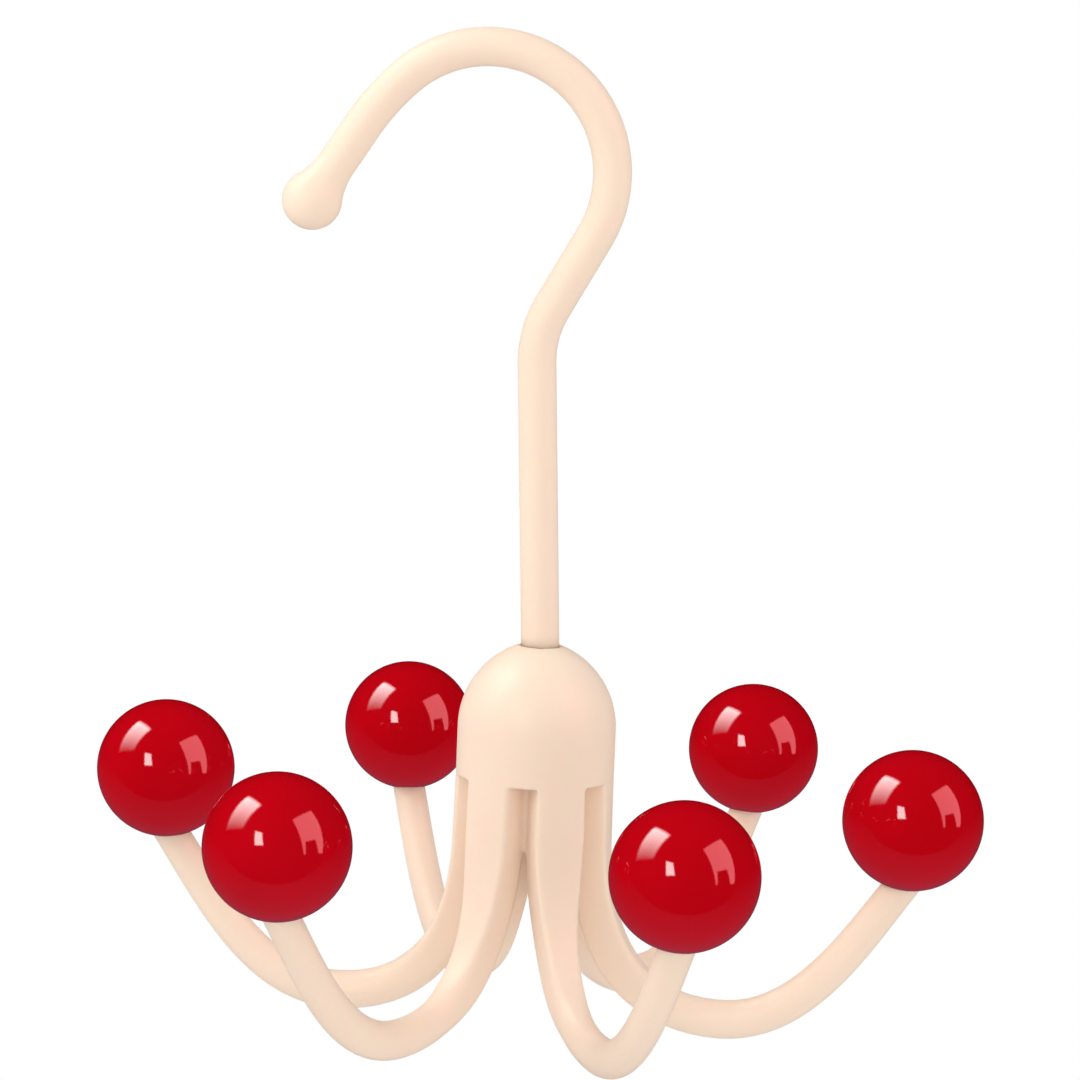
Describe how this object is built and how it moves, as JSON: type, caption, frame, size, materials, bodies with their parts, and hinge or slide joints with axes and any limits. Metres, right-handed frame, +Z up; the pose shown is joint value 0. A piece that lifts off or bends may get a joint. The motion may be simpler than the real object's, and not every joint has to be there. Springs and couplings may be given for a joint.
{
  "type": "tie hanger",
  "caption": "Swivel tie hanger: a rod hook with a rounded tip over a domed hub with curved arms, each ending in a ball.",
  "frame": {"origin": "on the swivel axis, level with the lowest point of the arms", "axes": "+Z up along the swivel axis; the hook lies in the XZ plane and opens towards -X"},
  "size_m": [0.166, 0.1574, 0.1854],
  "materials": {
    "cream_plastic": "satin moulded plastic",
    "red_gloss": "high gloss",
    "steel": "zinc plated"
  },
  "bodies": {
    "hook": {"swivel_hook": "cream_plastic", "retaining_washer": "steel", "retaining_screw": "steel"},
    "hub": {"hub_crown": "cream_plastic", "arm_right": "cream_plastic", "arm_back_right": "cream_plastic", "arm_back_left": "cream_plastic", "arm_left": "cream_plastic", "arm_front_left": "cream_plastic", "arm_front_right": "cream_plastic", "ball_right": "red_gloss", "ball_back_right": "red_gloss", "ball_back_left": "red_gloss", "ball_left": "red_gloss", "ball_front_left": "red_gloss", "ball_front_right": "red_gloss"}
  },
  "joints": [
    {"name": "swivel", "type": "hinge", "parent": "hook", "child": "hub", "pos_m": [0, 0, 0.06331], "axis": [0, 0, 1], "continuous": true}
  ]
}
